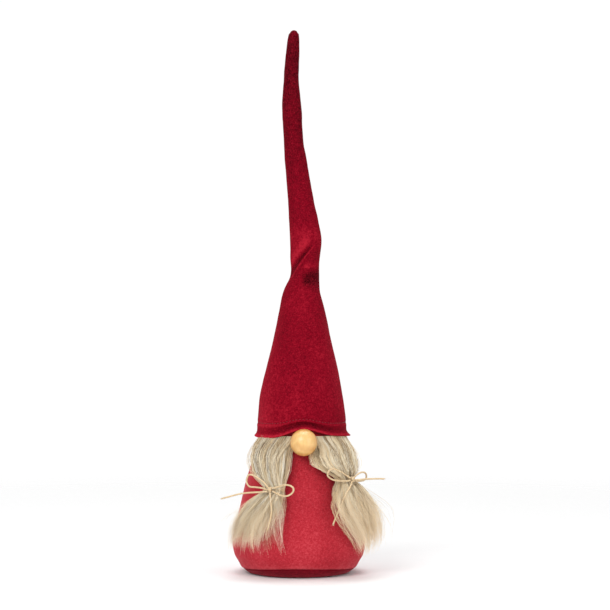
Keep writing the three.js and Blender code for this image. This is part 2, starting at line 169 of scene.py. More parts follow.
def from_curve(curve, name):
    """The mesh of a curve, with the curve itself removed."""
    holder = bpy.data.objects.new(name, curve)
    scene.collection.objects.link(holder)
    graph = bpy.context.evaluated_depsgraph_get()
    mesh = bpy.data.meshes.new_from_object(holder.evaluated_get(graph))
    mesh.name = name
    bpy.data.objects.remove(holder)
    bpy.data.curves.remove(curve)
    return mesh


def section(name, outline):
    """A closed flat outline for a curve to carry along its route."""
    curve = bpy.data.curves.new(name, "CURVE")
    curve.dimensions = "2D"
    spline = curve.splines.new("POLY")
    spline.points.add(len(outline) - 1)
    for point, (x, y) in zip(spline.points, outline):
        point.co = (x, y, 0, 1)
    spline.use_cyclic_u = True
    holder = bpy.data.objects.new(name, curve)
    scene.collection.objects.link(holder)
    return holder


def drop(holder):
    """Removes a section once its curves are meshes."""
    curve = holder.data
    bpy.data.objects.remove(holder)
    bpy.data.curves.remove(curve)


def fibres_mesh(name, strands):
    """One mesh of many fibres, each a thin curve with a three-sided section."""
    corners = [2 * math.pi * i / 3 for i in range(3)]
    holder = section("fibre_section", [(MM * math.cos(a), MM * math.sin(a)) for a in corners])
    curve = bpy.data.curves.new(name, "CURVE")
    curve.dimensions = "3D"
    curve.bevel_mode = "OBJECT"
    curve.bevel_object = holder
    tones, along = [], []
    for points, radii, tone in strands:
        spline = curve.splines.new("POLY")
        spline.points.add(len(points) - 1)
        flat = [value for place in points for value in (*(place * MM), 1)]
        spline.points.foreach_set("co", flat)
        spline.points.foreach_set("radius", radii)
        for i in range(len(points)):
            tones += [tone] * 3
            along += [i / (len(points) - 1)] * 3
    mesh = from_curve(curve, name)
    drop(holder)
    assert len(mesh.vertices) == len(tones), (len(mesh.vertices), len(tones))
    for key, values in (("tone", tones), ("along", along)):
        mesh.attributes.new(key, "FLOAT", "POINT").data.foreach_set("value", values)
    mesh.polygons.foreach_set("use_smooth", [True] * len(mesh.polygons))
    return mesh


def spun(profile, count):
    """A profile of (radius, height) in mm, spun once round the Z axis."""
    bm = bmesh.new()
    chain = [bm.verts.new((radius * MM, 0, height * MM)) for radius, height in profile]
    edges = [bm.edges.new(pair) for pair in zip(chain, chain[1:])]
    bmesh.ops.spin(
        bm, geom=chain + edges, cent=(0, 0, 0), axis=(0, 0, 1), dvec=(0, 0, 0),
        angle=2 * math.pi, steps=count, use_merge=True, use_duplicate=False,
    )
    bmesh.ops.remove_doubles(bm, verts=bm.verts, dist=1e-6)
    return bm


# %% [markdown]
# ## Routes on the body
#
# Hair and twine lie on a body that is round and gets narrower upwards, so their places are given as
# degrees round from the front, height, distance across and distance out from the velvet. `on_body`
# turns those into a point.

# %% Places on the body
def turn_of(x, y):
    """The angle round from the front, positive towards +X."""
    return math.atan2(x, -y)


def at_turn(turn, radius, height, middle=0):
    """The point at an angle round from the front."""
    return Vector((middle + radius * math.sin(turn), -radius * math.cos(turn), height))


def uneven(turn, size, height):
    """Soft noise round the gnome, the same each time. A larger size is a finer unevenness."""
    return noise.noise(Vector((size * math.sin(turn), size * math.cos(turn), height)))


def on_body(turn, height, across=0, out=0):
    """A point in mm, at a distance across and out from the body's surface. turn is in degrees."""
    radius = body_radius(height) + out
    return at_turn(math.radians(turn) + across / radius, radius, height, body_middle(height))


TIE = {"left": 46, "right": 36}  # below the hinge line
TIE_TURN = {"left": -23.5, "right": 44.6}
TWINE = 2.1


def centre(node):
    low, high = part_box(node)
    return (Vector(low) + Vector(high)) / 2 / MM


def ways_at(degrees):
    """Unit vectors across and out from the body, at an angle round from the front."""
    angle = math.radians(degrees)
    return Vector((math.cos(angle), math.sin(angle), 0)), Vector((math.sin(angle), -math.cos(angle), 0))


knots = {side: centre(f"{side}_knot") for side in TIE}
print("knots at", {side: [round(v, 1) for v in knots[side]] for side in knots})

# %% [markdown]
# ## Twine
#
# Each lock is tied with a bow of cream cotton twine, 2.1 mm thick and laid up from three plies.
# A plain round tube would lose the plies, so the section is a trefoil, and the curve's tilt turns it
# once every few millimetres along the route, which is how the real plies lie. The loops and the
# loose ends are free cords; the length of each is printed, and its route is the same list of points
# as in the frame: across, out from the knot, and up.

# %% Routes of the bows
BOWS = {
    "left": {
        "outer_loop": [
            (-2.4, 0, 2.5), (-8.1, 1, 8.9), (-17.4, 1.5, 14.6), (-24.4, 1, 16.4), (-28, 0, 13),
            (-28.8, -0.5, 7.4), (-25, 0, 3), (-17.4, 1, 2.6), (-9.6, 0.8, 1.8), (-3.5, 0, -0.1),
        ],
        "inner_loop": [
            (2.9, 0, 1.8), (10.5, 1.5, 3.9), (19.5, 2, 6.4), (26.4, 1, 5), (28.4, 0, 1),
            (25.4, 0, -3.6), (18.6, 1, -6.2), (9.8, 1, -4.2), (3.2, 0, -1.2),
        ],
        "long_end": [
            (-2.5, 1.8, -1.6), (-9, 2.6, -2.4), (-17, 3, -3), (-26, 3, -3.8), (-35, 3, -5.2),
            (-43.5, 2.6, -7.4), (-51.5, 2, -9.6), (-58, 1.4, -11.4),
        ],
        "short_end": [
            (0.4, 1.4, -3.1), (1.4, 2.6, -7.4), (3, 4.4, -13.5), (4.6, 6.4, -20.5), (4.9, 8.6, -28),
            (4, 10.6, -35), (2.8, 12.4, -42),
        ],
    },
    "right": {
        "inner_loop": [
            (-3, 0, 1.7), (-8, -2, 5.4), (-14.2, -4, 9.3), (-22.4, -7.5, 12.7), (-27.6, -9.5, 10.2),
            (-28.4, -10, 5), (-22.6, -8, 0.6), (-14.8, -4.6, -1), (-8, -2, -1.4), (-3.5, 0, -0.8),
        ],
        "outer_loop": [
            (2.9, 0, 1.9), (9, -1, 4.8), (17, -3, 6.6), (25.6, -6, 6.2), (31, -8, 3.4),
            (31, -8, -0.4), (25.2, -6, -2.6), (16.4, -3, -2.8), (9, -1.4, -2.4), (3.3, 0, -1),
        ],
        "long_end": [
            (2.5, 2.3, -0.4), (9, 3.6, -0.4), (17, 4.6, -0.3), (26, 5.6, -0.5), (35, 6.4, -0.8),
            (44, 7, -1.4),
        ],
        "short_end": [
            (-1.6, 1, -3), (-4.6, 1.6, -7.6), (-9.6, 2, -12.6), (-14.4, 2, -18.6), (-18, 1.8, -25),
            (-21.4, 1.4, -31), (-25.6, 0.8, -38.6), (-30, 0, -47.6),
        ],
    },
}


def soft_route(points, per_span=8):
    """A Catmull-Rom curve through the points, as closely spaced points."""
    ends = [2 * points[0] - points[1], *points, 2 * points[-1] - points[-2]]
    route = []
    for a, b, c, d in zip(ends, ends[1:], ends[2:], ends[3:]):
        for t in steps(0, 1, per_span)[:-1]:
            bend = 2 * a - 5 * b + 4 * c - d
            twist = 3 * b - a - 3 * c + d
            route.append((2 * b + (c - a) * t + bend * t * t + twist * t ** 3) / 2)
    return [*route, points[-1]]


def length_of(route):
    return sum((b - a).length for a, b in zip(route, route[1:]))


# %% The twine's section and its mesh
PLIES = 3
LAY = 5.5  # mm along the twine for one turn of a ply


def trefoil(thickness, count=18):
    outline = []
    for angle in steps(0, 2 * math.pi, count)[:-1]:
        radius = thickness / 2 * (0.93 + 0.11 * math.cos(PLIES * angle))
        outline.append((radius * math.cos(angle) * MM, radius * math.sin(angle) * MM))
    return outline


def twine_mesh(name, route, thickness=TWINE, closed=False):
    ply_section = section("ply_section", trefoil(thickness))
    curve = bpy.data.curves.new(name, "CURVE")
    curve.dimensions = "3D"
    curve.bevel_mode = "OBJECT"
    curve.bevel_object = ply_section
    curve.use_fill_caps = not closed
    spline = curve.splines.new("POLY")
    spline.points.add(len(route) - 1)
    spline.use_cyclic_u = closed
    along = 0
    for i, (point, place) in enumerate(zip(spline.points, route)):
        along += (place - route[i - 1]).length if i else 0
        point.co = (*(place * MM), 1)
        point.tilt = 2 * math.pi * along / LAY
    mesh = from_curve(curve, name)
    drop(ply_section)
    mesh.polygons.foreach_set("use_smooth", [True] * len(mesh.polygons))
    return mesh


# %% Frayed ends
FRAY_SPREAD = 1.6  # mm, the most a loose fibre stands off the twine's middle


def frayed(mesh, route, draw, count=16):
    """The twine's mesh with its last plies opened into a small brush of fibres."""
    end, way = route[-1], (route[-1] - route[-4]).normalized()
    strands = []
    for _ in range(count):
        spread = Vector((draw.gauss(0, 1), draw.gauss(0, 1), draw.gauss(0, 1)))
        spread -= way * spread.dot(way)
        spread *= min(1, FRAY_SPREAD / max(spread.length, 0.01))
        reach, start = draw.uniform(1.2, 2.4), draw.uniform(-3, -0.5)
        points = [
            end + way * (start + (reach - start) * t) + spread * (0.35 + 0.75 * t * t)
            for t in steps(0, 1, 3)
        ]
        strands.append((points, [0.16, 0.14, 0.11, 0.04], 0.5))
    brush_mesh = fibres_mesh("fray", strands)
    bm = bmesh.new()
    bm.from_mesh(mesh)
    bm.from_mesh(brush_mesh)
    bm.to_mesh(mesh)
    bm.free()
    bpy.data.meshes.remove(brush_mesh)
    return mesh


# %% The bows' loops and loose ends
twine_pieces = []
for side, bow in BOWS.items():
    across_way, out_way = ways_at(TIE_TURN[side])
    for part, points in bow.items():
        places = [knots[side] + across_way * a + out_way * o + Vector((0, 0, u)) for a, o, u in points]
        route = soft_route(places)
        mesh = twine_mesh(f"twine_{side}_{part}", route)
        if part.endswith("end"):
            mesh = frayed(mesh, route, random.Random(f"{side} {part}"))
        piece = add(mesh.name, mesh)
        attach(piece, f"pigtail_{side}")
        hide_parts(f"{side}_{part}")
        twine_pieces.append(piece)
        print("%s: %.0f mm of twine" % (piece.name, length_of(route)))

# %% [markdown]
# ## Knots and wraps
#
# Behind each knot the twine goes twice round the lock's waist, and the bow's own crossing turn hides
# where the loops meet. Both are the same twine, so the same function makes them: the wrap as a flat
# helix round the lock, and the knot as a short coil over the crossing. These are held all the way,
# so they aren't free cords.

# %% Wraps round the locks
WAIST = {"left": (20, 9), "right": (22, 9)}  # width and thickness of the tied hair
STANDOFF = 3.9  # room behind the hair for the twine
GRIP = 0.35  # from the hair to the twine round it
KNOT_OUT, KNOT_UP, KNOT_ACROSS = 2.1, 2.3, 1.5  # the coil's half sizes


def wrap_route(side, turns=2, count=28):
    width, thickness = WAIST[side]
    half, room = thickness / 2, GRIP + TWINE / 2
    low = HINGE_LINE - TIE[side] - TWINE * (turns - 1) / 2
    route = []
    for i in range(turns * count + 1):
        angle = 2 * math.pi * i / count
        across = (width / 2 + room) * math.sin(angle)
        out = STANDOFF + half + (half + room) * math.cos(angle)
        route.append(on_body(TIE_TURN[side], low + TWINE * 0.92 * i / count, across, out))
    return route


def knot_route(side, turns=2.4, count=14):
    """A short coil that runs up and down over the crossing."""
    across_way, out_way = ways_at(TIE_TURN[side])
    route = []
    for i in range(int(turns * count)):
        turn = 2 * math.pi * i / count
        drift = KNOT_ACROSS * (i / (turns * count) - 0.5) * 2
        around = out_way * (KNOT_OUT * math.cos(turn)) + Vector((0, 0, KNOT_UP * math.sin(turn)))
        route.append(knots[side] + across_way * drift + around)
    return route


for side in TIE:
    for name, route, node in (
        (f"twine_{side}_wrap", wrap_route(side), f"{side}_twine_wrap"),
        (f"twine_{side}_knot", knot_route(side), f"{side}_knot"),
    ):
        piece = add(name, twine_mesh(name, route))
        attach(piece, f"pigtail_{side}")
        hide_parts(node)
        twine_pieces.append(piece)
print(len(twine_pieces), "pieces of twine")

# %% [markdown]
# ## Velvet
#
# Velvet is a short, dense pile. Three things make it read as velvet: the pile is brushed this way
# and that, so that the cloth has soft darker and lighter patches; it glows where it turns away from
# the eye; and close up it is a fine grain with faint ribs, with specks of painted sheen in its colour.
# One node group puts out the colour, the roughness and a height for the bump. Each piece carries an
# attribute called `light_and_nap`, from 0 to 1, that darkens or lightens the pile: on the hat and the body
# it is painted light and shade, painted shade in hollows, creases and on the side away from the lamps,
# and painted highlights on ridges, edges and lit sides.

# %% A small language for nodes
def new_material(name, **sockets):
    """A Principled material. Each keyword names a socket, with _ for a space."""
    material = bpy.data.materials.new(name)
    material.use_nodes = True
    shader = material.node_tree.nodes["Principled BSDF"]
    for socket, value in sockets.items():
        shader.inputs[socket.replace("_", " ")].default_value = value
    return material, material.node_tree, shader


def node(tree, kind, **values):
    made = tree.nodes.new(kind)
    for key, value in values.items():
        if hasattr(made, key):
            setattr(made, key, value)
        else:
            made.inputs[key.replace("_", " ")].default_value = value
    return made


def link(tree, source, target):
    tree.links.new(source, target)


def own_place(tree):
    """The piece's own coordinates."""
    return node(tree, "ShaderNodeTexCoord").outputs["Object"]


def bumped(tree, shader, height, strength, distance):
    """Tilts the shader's normals by a height."""
    bump = node(tree, "ShaderNodeBump", Strength=strength, Distance=distance)
    link(tree, height, bump.inputs["Height"])
    link(tree, bump.outputs["Normal"], shader.inputs["Normal"])


def ramp(tree, source, *stops):
    """A colour ramp through (place, colour) stops."""
    made = tree.nodes.new("ShaderNodeValToRGB")
    elements = made.color_ramp.elements
    while len(elements) < len(stops):
        elements.new(0.5)
    for element, (place, colour) in zip(elements, stops):
        element.position = place
        element.color = (*colour, 1)
    link(tree, source, made.inputs["Fac"])
    return made.outputs["Color"]


def mix(tree, share, first, second, blend="MIX"):
    """A colour mix. share, first and second are sockets or values."""
    made = tree.nodes.new("ShaderNodeMix")
    made.data_type = "RGBA"
    made.blend_type = blend
    for index, value in ((0, share), (6, first), (7, second)):
        if isinstance(value, bpy.types.NodeSocket):
            link(tree, value, made.inputs[index])
        else:
            made.inputs[index].default_value = value
    return made.outputs[2]


def shade(red, green, blue):
    """A colour given as it looks on a screen, from 0 to 255, as the shader's own numbers."""
    def linear(value):
        value /= 255
        return value / 12.92 if value <= 0.04045 else ((value + 0.055) / 1.055) ** 2.4
    return linear(red), linear(green), linear(blue)


# %% The velvet group
def ranged(tree, source, low, high, to_low=0.0, to_high=1.0):
    """A value taken from one range to another."""
    made = node(tree, "ShaderNodeMapRange")
    for key, value in (("From Min", low), ("From Max", high), ("To Min", to_low), ("To Max", to_high)):
        made.inputs[key].default_value = value
    link(tree, source, made.inputs["Value"])
    return made.outputs["Result"]


def grain(tree, place, scale, stretch=(1, 1, 1), detail=3.0, roughness=0.6):
    """Noise on the piece's own coordinates."""
    turned = node(tree, "ShaderNodeMapping")
    turned.inputs["Scale"].default_value = stretch
    link(tree, place, turned.inputs["Vector"])
    made = node(tree, "ShaderNodeTexNoise", Detail=detail, Roughness=roughness)
    if isinstance(scale, bpy.types.NodeSocket):
        link(tree, scale, made.inputs["Scale"])
    else:
        made.inputs["Scale"].default_value = scale
    link(tree, turned.outputs["Vector"], made.inputs["Vector"])
    return made.outputs["Fac"]


def summed(tree, *terms):
    """The sum of (socket, factor) pairs."""
    total = None
    for source, factor in terms:
        made = node(tree, "ShaderNodeMath", operation="MULTIPLY_ADD")
        link(tree, source, made.inputs[0])
        made.inputs[1].default_value = factor
        if total is None:
            made.inputs[2].default_value = 0
        else:
            link(tree, total, made.inputs[2])
        total = made.outputs[0]
    return total


def make_velvet_group():
    tree = bpy.data.node_groups.new("Velvet pile", "ShaderNodeTree")
    for name in ("Dark and shaded", "Brushed", "Light and highlit"):
        tree.interface.new_socket(name, in_out="INPUT", socket_type="NodeSocketColor")
    for name in ("Light and nap", "Patches", "Sheen specks"):
        tree.interface.new_socket(name, in_out="INPUT", socket_type="NodeSocketFloat")
    for name, kind in (
        ("Color", "NodeSocketColor"), ("Roughness", "NodeSocketFloat"), ("Height", "NodeSocketFloat"),
    ):
        tree.interface.new_socket(name, in_out="OUTPUT", socket_type=kind)
    inside = node(tree, "NodeGroupInput")
    outside = node(tree, "NodeGroupOutput")
    place = own_place(tree)

    broad = ranged(tree, grain(tree, place, inside.outputs["Patches"], (1, 1, 0.55)), 0.3, 0.7)
    crushed = ranged(tree, grain(tree, place, 400.0, (1, 1, 0.8), 2.0), 0.32, 0.68)
    ribs = ranged(tree, grain(tree, place, 560.0, (0.5, 0.5, 1.6), 2.0, 0.7), 0.3, 0.7)
    fine = ranged(tree, grain(tree, place, 1300.0, detail=2.0), 0.32, 0.68)
    pile = summed(tree, (broad, 0.24), (crushed, 0.24), (ribs, 0.2), (inside.outputs["Light and nap"], 1.0))
    level = ranged(tree, pile, 0.39, 1.39)

    # The dark colour gives the pile's darker patches and the painted shade in hollows, and the light colour
    # gives its lighter patches and the painted highlights on ridges.
    low = mix(tree, ranged(tree, level, 0.0, 0.5), inside.outputs["Dark and shaded"], inside.outputs["Brushed"])
    colour = mix(tree, ranged(tree, level, 0.5, 1.0), low, inside.outputs["Light and highlit"])
    # Painted sheen: fine specks mixed towards the light colour.
    specks = node(tree, "ShaderNodeMath", operation="MULTIPLY")
    link(tree, ranged(tree, fine, 0.45, 1.0), specks.inputs[0])
    link(tree, inside.outputs["Sheen specks"], specks.inputs[1])
    link(tree, mix(tree, specks.outputs[0], colour, inside.outputs["Light and highlit"]), outside.inputs["Color"])
    link(tree, ranged(tree, fine, 0.0, 1.0, 0.72, 0.95), outside.inputs["Roughness"])
    link(tree, summed(tree, (fine, 0.5), (ribs, 0.5)), outside.inputs["Height"])
    return tree


velvet_group = make_velvet_group()


def velvet(name, hollow, brushed, ridge, sheen, tint, patches=20.0):
    material, tree, shader = new_material(
        name, Sheen_Weight=sheen, Sheen_Roughness=0.42, Sheen_Tint=(*tint, 1),
        Specular_IOR_Level=0.02,
    )
    pile = node(tree, "ShaderNodeGroup")
    pile.node_tree = velvet_group
    # hollow is the colour of the pile's darker patches and of painted shade, and ridge is the colour of its
    # lighter patches, painted highlights and painted sheen specks.
    for socket, colour in (("Dark and shaded", hollow), ("Brushed", brushed), ("Light and highlit", ridge)):
        pile.inputs[socket].default_value = (*colour, 1)
    pile.inputs["Patches"].default_value = patches
    # the share of painted sheen specks
    pile.inputs["Sheen specks"].default_value = 0.5
    light_and_nap = node(tree, "ShaderNodeAttribute", attribute_name="light_and_nap")
    link(tree, light_and_nap.outputs["Fac"], pile.inputs["Light and nap"])
    link(tree, pile.outputs["Color"], shader.inputs["Base Color"])
    link(tree, pile.outputs["Roughness"], shader.inputs["Roughness"])
    bumped(tree, shader, pile.outputs["Height"], 0.4, 0.0006)
    return material


def paint_light_and_nap(mesh, light_and_nap_at):
    """Writes, for every point of a mesh, the value that darkens or lightens its pile, from its place in
    metres; on the hat and the body this is painted light and shade.
    """
    values = [min(max(light_and_nap_at(vertex.co), 0), 1) for vertex in mesh.vertices]
    mesh.attributes.new("light_and_nap", "FLOAT", "POINT").data.foreach_set("value", values)


# Each velvet has a dark colour for darker patches and painted shade, the brushed pile's colour, a light
# colour for lighter patches and painted highlights, then the shader's sheen and its tint.
hat_velvet = velvet(
    "hat_velvet", shade(52, 0, 6), shade(119, 2, 23), shade(186, 36, 54), 0.16, (1, 0.1, 0.14),
)
body_velvet = velvet(
    "body_velvet", shade(122, 19, 29), shade(170, 37, 49), shade(210, 78, 88), 0.3, (1, 0.4, 0.42), 24.0,
)
base_velvet = velvet(
    "base_velvet", shade(58, 2, 10), shade(104, 8, 24), shade(160, 34, 50), 0.25, (1, 0.3, 0.35),
)
print("velvets:", [m.name for m in (hat_velvet, body_velvet, base_velvet)])

# %% [markdown]
# ## Body
#
# The body is a velvet tube sewn to a round base panel, closed by one seam at the back and stuffed
# until it is tight. It could be turned as a plain solid of revolution, but stuffed cloth swells
# between its seams. So the spun sleeve starts a little small, and a short cloth simulation with
# pressure inside swells it, with the base seam, the back seam and the part under the hat held
# still. No point may move more than 2 mm.

# %% The body's outline and its seams
SEAM_PUCKERS = 34
BACK = math.pi  # the angle from the front of the seam at the back
BACK_RADIUS = 70  # mm, near enough to measure along the cloth there
FOOT = 50
panel_edge = smooth([[0, 50], [0.8, 55.5], [2.6, 60], [6, 64.5], [SEAM, 68]])  # radius at each height


def seam_drop(turn):
    """How far the base seam dips below its front. The stuffing rolls the sides under."""
    return 5.4 * (1 - hump(turn, 0, 0.95)) + 0.5 * uneven(turn, 2, 5)


def body_shape(point, inset):
    """Where a point of the spun sleeve goes: leant, with seams and a little unevenness."""
    height, radius = point.z / MM, math.hypot(point.x, point.y) / MM
    turn = turn_of(point.x, point.y)
    back = abs(abs(turn) - BACK) * radius
    groove = 1.3 * hump(back, 0, 2.6) * (1 - fade(BRIM - 8, BRIM, height))
    pucker = 0.35 * math.cos(SEAM_PUCKERS * turn + 2 * math.sin(3 * turn)) * hump(height, SEAM + 3, 5)
    dents = 1.1 * uneven(turn, 2.2, height / 42) * fade(SEAM, SEAM + 25, height)
    placed = height - seam_drop(turn) * (1 - fade(SEAM, SEAM + 24, height))
    slip = body_radius(height) - (body_radius(placed) if placed > SEAM else panel_edge(placed))
    inset *= (1 - hump(back, 0, 9)) * fade(SEAM, SEAM + 14, height)
    new = max(radius - slip - inset - groove + pucker + dents, 1)
    return at_turn(turn, new, placed, body_middle(height)) * MM


def moved(bm, place):
    for vertex in bm.verts:
        vertex.co = place(vertex.co)
    return bm


SWELL = 2.0  # mm, how far the sleeve starts inside its outline, and the most a point may move
outline = [(body_radius(z), z) for z in steps(SEAM + 0.6, BRIM + 26, 76)]
# the sleeve's lower edge is turned in behind the seam
tucked = [(body_radius(SEAM) - 4.2, SEAM + 2.6), (body_radius(SEAM) - 1.6, SEAM + 0.4)]
sleeve_bm = moved(spun([*tucked, *outline], 132), lambda point: body_shape(point, SWELL))
sleeve = add("body_sleeve_velvet", finished(sleeve_bm, "body_sleeve_velvet"), body_velvet)
print("sleeve:", len(sleeve.data.polygons), "faces before it swells")


# %% Swelling the sleeve
def swell(piece, held, limit, pressure=3.0, frames=16):
    """Inflates a piece with a cloth simulation, holding some points, and keeps each move short."""
    start = [vertex.co.copy() for vertex in piece.data.vertices]
    group = piece.vertex_groups.new(name="held")
    for vertex in piece.data.vertices:
        share = held(vertex.co)
        if share > 0:
            group.add([vertex.index], share, "REPLACE")
    cloth = piece.modifiers.new("Cloth", "CLOTH")
    cloth.settings.vertex_group_mass = "held"
    cloth.settings.effector_weights.gravity = 0
    cloth.settings.use_pressure = True
    cloth.settings.uniform_pressure_force = pressure
    cloth.settings.tension_stiffness = 25
    cloth.settings.compression_stiffness = 25
    cloth.settings.bending_stiffness = 2
    cloth.settings.quality = 4
    cloth.point_cache.frame_start = 1
    cloth.point_cache.frame_end = frames
    for frame_number in range(1, frames + 1):
        scene.frame_set(frame_number)
    graph = bpy.context.evaluated_depsgraph_get()
    swollen = [vertex.co.copy() for vertex in piece.evaluated_get(graph).data.vertices]
    piece.modifiers.remove(cloth)
    scene.frame_set(1)
    largest = 0
    for vertex, old, new in zip(piece.data.vertices, start, swollen):
        move = new - old
        largest = max(largest, move.length)
        if move.length > limit * MM:
            move *= limit * MM / move.length
        vertex.co = old + move
    piece.vertex_groups.clear()
    return largest / MM


def sleeve_held(point):
    height, turn = point.z / MM, turn_of(point.x, point.y)
    back = abs(abs(turn) - BACK) * BACK_RADIUS
    low = SEAM - seam_drop(turn)
    return max(1 - fade(low + 1, low + 5, height), fade(BRIM - 12, BRIM - 4, height), hump(back, 0, 3))


print("the sleeve swelled by up to %.1f mm" % swell(sleeve, sleeve_held, SWELL))
sleeve.data.update()


def body_light_and_shade(point):
    """Painted light and shade on the pile: painted highlights at the belly and along the base seam's edge,
    lighter on the left and darker on the right where the key light falls, and painted shade under the nose
    and the brim.
    """
    height, turn = point.z / MM, turn_of(point.x, point.y)
    low = SEAM - seam_drop(turn)
    level = 0.5 + 0.2 * hump(height, low + 2.2, 2.6) + 0.08 * hump(height, 40, 30)
    level += 0.1 * hump(turn, -0.75, 0.6) * hump(height, 45, 40) - 0.1 * hump(turn, 0.8, 0.5)
    return level - 0.13 * hump(turn, 0.03, 0.3) * fade(92, 128, height)


paint_light_and_nap(sleeve.data, body_light_and_shade)
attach(sleeve, "root")
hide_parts("body_sleeve")

# %% [markdown]
# ## Base panel
#
# Under the body is a round panel of darker velvet over a stiff card, sewn to the sleeve all round.
# Its foot is flat, and from there it curves out and up to the seam. The stuffing rolls the sides
# under, so the seam is highest in front. The profile is spun in one go, and its rim is then taken
# to the same heights as the sleeve's edge, so that the seam stays closed.

# %% Base panel
PANEL_WALL = 1.8
panel_heights = [0, 0.3, 0.8, 1.6, 2.6, 3.8, 5, 6.4, 7.8, 9.4, SEAM + 0.5]
panel_outline = [(0, 0), (25, 0), (FOOT - 4, 0), *((panel_edge(z), z) for z in panel_heights)]
panel_outline += [(65.5, SEAM + 0.5), (62, 6), (FOOT, PANEL_WALL), (0, PANEL_WALL)]


def panel_shape(point):
    """Takes the panel's rim to the seam, along the body's own outline."""
    height, radius = point.z / MM, math.hypot(point.x, point.y) / MM
    turn = turn_of(point.x, point.y)
    rim = (SEAM - seam_drop(turn)) / SEAM
    placed = height * (1 + (rim - 1) * fade(FOOT - 4, 62, radius))
    slip = panel_edge(height) - panel_edge(placed) if radius > FOOT else 0
    new = radius - slip - 0.7 * fade(60, 67, radius)
    return at_turn(turn, new, placed) * MM


panel_bm = moved(spun(panel_outline, 132), panel_shape)
panel = add("base_panel_velvet", finished(panel_bm, "base_panel_velvet"), base_velvet)
paint_light_and_nap(panel.data, lambda point: 0.5 + 0.25 * hump(point.z / MM, 2, 2.5))
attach(panel, "root")
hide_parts("base_panel")
print("base panel:", len(panel.data.polygons), "faces")

# %% [markdown]
# ## Hat
#
# The hat is one long cone of velvet, turned up and stitched at the brim, with a wire in it that the
# owner bends. Where the wire is bent hardest the cloth has twisted and folded over itself. It is
# spun from one outline, then each point is moved by a few plain rules: the lean, the rise of the
# brim over the nose, the hem's rolled edge, the fold at the kink, and small ripples. The finished
# tube is cut into three pieces in places that stay stiff, because a piece may bend over one hinge.

# %% The hat's outline
# rise above the brim, half width, place of the middle, in mm
HAT_MARKS = [
    (0, 52, 3.4), (45, 47.5, 3), (100, 35.5, 3.8), (155, 23, 3), (167, 20, 3.5), (182, 16.7, 7),
    (205, 17, 7), (224, 18, 7.6), (250, 16.5, 4.8), (265, 15, 3), (319, 12.5, -4), (334, 11, -5.7),
    (374, 11, -8.2), (402, 9, -8.6), (450, 7, -6.3), (464, 4.6, -5.5),
]
hat_half = smooth([[BRIM + rise, half] for rise, half, _ in HAT_MARKS])
hat_middle = smooth([[BRIM + rise, middle] for rise, _, middle in HAT_MARKS])
STITCH = BRIM + 15.5
HEM_FOLD = 1.4  # half the thickness of the turned edge


def hem_profile():
    """From the top of the turned-in hem, down round the rolled edge and up to the stitching."""
    inner = [(hat_half(z) - 2.4, z) for z in steps(STITCH, BRIM + 2, 7)]
    lip = hat_half(BRIM) - 0.2
    roll = []
    for angle in steps(math.pi, 2 * math.pi, 8):
        roll.append((lip + HEM_FOLD * math.cos(angle), BRIM + HEM_FOLD + HEM_FOLD * math.sin(angle)))
    outer = [(hat_half(z), z) for z in steps(BRIM + 3.4, BRIM + 22, 14)]
    return [*inner, *roll, *outer]


TIP_RADIUS, TIP_HEIGHT = 4.6, 5
# the rings lie closest round the kink
levels = [*steps(BRIM + 24, KINK - 14, 70), *steps(KINK - 14, KINK + 46, 92)[1:],
          *steps(KINK + 46, TOP - TIP_HEIGHT, 112)[1:]]
tube = [(hat_half(z), z) for z in levels]
cap = [
    (TIP_RADIUS * math.cos(a), TOP - TIP_HEIGHT + TIP_RADIUS * math.sin(a))
    for a in steps(0, math.pi / 2, 5)[1:-1]
]
hat_outline = [*hem_profile(), *tube, *cap, (0, TOP - 0.4)]
print("hat outline:", len(hat_outline), "points")

# %% How each point of the hat moves
NOSE_TURN = math.radians(2)
TAIL_DEPTH = 0.85


def arch(turn, height):
    """How far the brim is lifted over the nose."""
    spread = math.radians(25)
    lifted = 8.8 * hump(turn, NOSE_TURN, spread) * (1 - fade(BRIM, BRIM + 38, height))
    sag = 1.4 * math.cos(2 * (turn - 0.6)) * (1 - fade(BRIM, BRIM + 20, height))
    return lifted + sag


def hem_relief(turn, height):
    """Out and in across the hem: the stitched groove, the hollow under it and the flared edge."""
    groove = -0.6 * hump(height, STITCH, 1.2)
    front = hump(turn, NOSE_TURN, math.radians(40))
    hollow = -(0.3 + 3.1 * front) * hump(height, BRIM + 7.6, 3.6)
    above = (0.15 + 0.8 * front) * hump(height, STITCH - 2.9, 1.7)
    wave = 0.5 * uneven(turn, 3, 9)
    lip = 0.3 + wave + 2.2 * hump(turn, 1.5, 0.4) + 0.6 * hump(turn, -1.5, 0.25) + 0.7 * front
    return groove + hollow + above + lip * (1 - fade(BRIM + 1, BRIM + 7, height))


CREASE = ((-9, KINK - 2), (20, KINK + 38))  # the fold's line in front, as place across and height


def crease_place(x, height):
    """How far along the crease a point is, and how far to its lower right."""
    (x0, z0), (x1, z1) = CREASE
    size = math.hypot(x1 - x0, z1 - z0)
    along = ((x - x0) * (x1 - x0) + (height - z0) * (z1 - z0)) / size
    beside = ((x - x0) * (z1 - z0) - (height - z0) * (x1 - x0)) / size
    bow = 1.6 * math.sin(math.pi * min(max(along / size, 0), 1))
    return along / size, beside + bow


